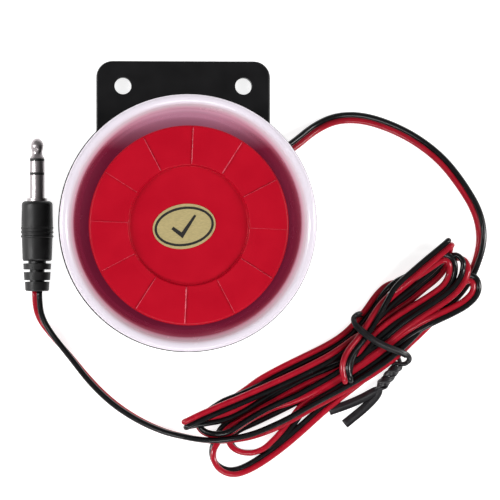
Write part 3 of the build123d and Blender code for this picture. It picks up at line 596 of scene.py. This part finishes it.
def add_petal_edges():
    """Thin lines of painted highlight at the petals' sides, uneven along their length."""
    low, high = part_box("reflector_cap")
    centre = Vector(((low.x + high.x) / 2, (low.y + high.y) / 2, high.z))
    # a lighter red, the painted highlight that the small steps between the petals catch
    painted_highlight, _ = surface("painted_petal_highlight", (0.66, 0.06, 0.10), 0.4, mottle=0.3, mottle_scale=1500)
    uneven = random.Random(7)
    vertices, faces = [], []
    for turn, width in PETAL_EDGES:
        angle = math.radians(90 - turn)
        out = Vector((math.cos(angle), math.sin(angle), 0))
        side = Vector((-out.y, out.x, 0))
        start = len(vertices)
        for k in range(EDGE_STEPS + 1):
            place = centre + out * (EDGE_FROM + (EDGE_TO - EDGE_FROM) * k / EDGE_STEPS)
            half = width * MM * uneven.uniform(0.25, 0.6)
            for across, height in ((-half, -0.5), (half, -0.5), (half, 1.0), (-half, 1.0)):
                vertices.append(place + side * across + UP * EDGE_THICKNESS * height)
        for k in range(EDGE_STEPS):
            near = start + 4 * k
            faces += [(near + a, near + b, near + b + 4, near + a + 4)
                      for a, b in ((0, 1), (1, 2), (2, 3), (3, 0))]
        faces.append((start + 3, start + 2, start + 1, start))
        faces.append(tuple(len(vertices) - 4 + k for k in range(4)))
    edges = new_mesh("petal_edges", vertices, faces, [painted_highlight])
    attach(edges, "root")


add_petal_edges()

# ---------------------------------------------------------------- sticker print
STICKER_TURN = math.radians(9.5)
PRINT_LENGTH = 12.95 * MM
PRINT_WIDTH = 8.3 * MM
PRINT_LINE = 0.55 * MM
PRINT_THICKNESS = 0.03 * MM
PRINT_STEPS = 96
# a plain tick, drawn from its short arm's tip, in millimetres from the sticker's centre
TICK_CORNERS = [(-2.7, 0.1), (-0.8, -1.9), (2.9, 2.1)]
TICK_STROKE = 0.75 * MM
# half width at the short arm's tip, the elbow and the long arm's end, as shares of the stroke
TICK_HALVES = (0.5, 0.62, 0.35)


def sticker_place():
    """Centre of the sticker's top face."""
    low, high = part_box("inspection_sticker")
    return Vector(((low.x + high.x) / 2, (low.y + high.y) / 2, high.z))


def turned(x, y):
    """A point on the sticker's face, turned as the sticker is."""
    c, s = math.cos(STICKER_TURN), math.sin(STICKER_TURN)
    return Vector((x * c - y * s, x * s + y * c, 0))


def raised_strip(name, inner, outer, closed, material):
    """A thin printed layer between two rows of points on the sticker's top."""
    centre = sticker_place()
    rows = []
    for row, height in ((inner, 0), (outer, 0), (outer, PRINT_THICKNESS), (inner, PRINT_THICKNESS)):
        rows.append([centre + turned(x, y) + UP * height for x, y in row])
    count = len(inner)
    vertices = [p for row in rows for p in row]
    faces = []
    for k in range(count if closed else count - 1):
        n = (k + 1) % count
        for a, b in ((0, 1), (1, 2), (2, 3), (3, 0)):
            faces.append((a * count + k, a * count + n, b * count + n, b * count + k))
    if not closed:
        faces.append(tuple(row * count for row in range(4)))
        faces.append(tuple(row * count + count - 1 for row in reversed(range(4))))
    printed = new_mesh(name, vertices, faces, [material])
    for polygon in printed.data.polygons:
        polygon.use_smooth = False
    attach(printed, "root")
    return printed


def print_sticker():
    """The gold sticker's black oval line and tick."""
    gold, _ = surface("sticker_gold", (0.50, 0.41, 0.19), 0.45, metallic=0.3, mottle=0.16, mottle_scale=1400,
                      rough_swing=0.08, grain=0.3, grain_scale=3500, stretch=(1, 8, 1))
    dress("inspection_sticker", gold)
    ink, _ = surface("sticker_ink", (0.008, 0.007, 0.006), 0.5, mottle=0.2, mottle_scale=1500)
    ovals = []
    for inset in (PRINT_LINE / 2, -PRINT_LINE / 2):
        half_x, half_y = PRINT_LENGTH / 2 - inset, PRINT_WIDTH / 2 - inset
        angles = [2 * math.pi * k / PRINT_STEPS for k in range(PRINT_STEPS)]
        ovals.append([(half_x * math.cos(a), half_y * math.sin(a)) for a in angles])
    raised_strip("sticker_oval", *ovals, True, ink)
    tip, elbow, end = (Vector(p) * MM for p in TICK_CORNERS)
    first, second = (elbow - tip).normalized(), (end - elbow).normalized()
    across = [Vector((-first.y, first.x)), None, Vector((-second.y, second.x))]
    across[1] = (across[0] + across[2]) / (1 + across[0].dot(across[2]))
    widths = [TICK_STROKE * share for share in TICK_HALVES]
    left = [p + a * w for p, a, w in zip((tip, elbow, end), across, widths)]
    right = [p - a * w for p, a, w in zip((tip, elbow, end), across, widths)]
    raised_strip("sticker_tick", [tuple(p) for p in left], [tuple(p) for p in right], False, ink)


print_sticker()

# ---------------------------------------------------------------- studio
FLOOR_HALF = 0.9
FLOOR_DROP = 0.2 * MM


def add_floor():
    """A plain pale floor just under the mounting plate."""
    pale, shader = principled("floor_pale", (0.60, 0.60, 0.60), 0.7)
    shader.inputs["Emission Color"].default_value = (1.0, 1.0, 1.0, 1.0)
    shader.inputs["Emission Strength"].default_value = 0.84
    shader.inputs["Specular IOR Level"].default_value = 0.1
    corners = [(-1, -1), (1, -1), (1, 1), (-1, 1)]
    floor = new_mesh("floor", [(x * FLOOR_HALF, y * FLOOR_HALF, -FLOOR_DROP) for x, y in corners],
                     [(0, 1, 2, 3)], [pale])


def add_light(name, place, aim, size, power):
    """A soft oblong area light."""
    data = bpy.data.lights.new(name, "AREA")
    data.shape = "RECTANGLE"
    data.size, data.size_y = size
    data.energy = power
    light = bpy.data.objects.new(name, data)
    light.location = place
    light.rotation_euler = (Vector(aim) - Vector(place)).to_track_quat("-Z", "Y").to_euler()
    bpy.context.collection.objects.link(light)


def add_world():
    """Even pale light from all round."""
    world = bpy.data.worlds.new("studio")
    world.use_nodes = True
    background = world.node_tree.nodes["Background"]
    background.inputs["Color"].default_value = (1.0, 1.0, 1.0, 1.0)
    background.inputs["Strength"].default_value = 0.22
    bpy.context.scene.world = world


add_floor()
add_world()
add_light("softbox_left", (-0.75, 0.05, 0.55), (0, 0, 0.01), (0.12, 0.5), 4.9)
add_light("softbox_right", (0.75, 0.05, 0.55), (0.02, 0, 0.01), (0.12, 0.5), 4.9)
add_light("softbox_front", (0.0, -0.66, 0.72), (0, 0, 0.01), (0.5, 0.2), 3.6)
bpy.context.scene.view_settings.view_transform = "Standard"
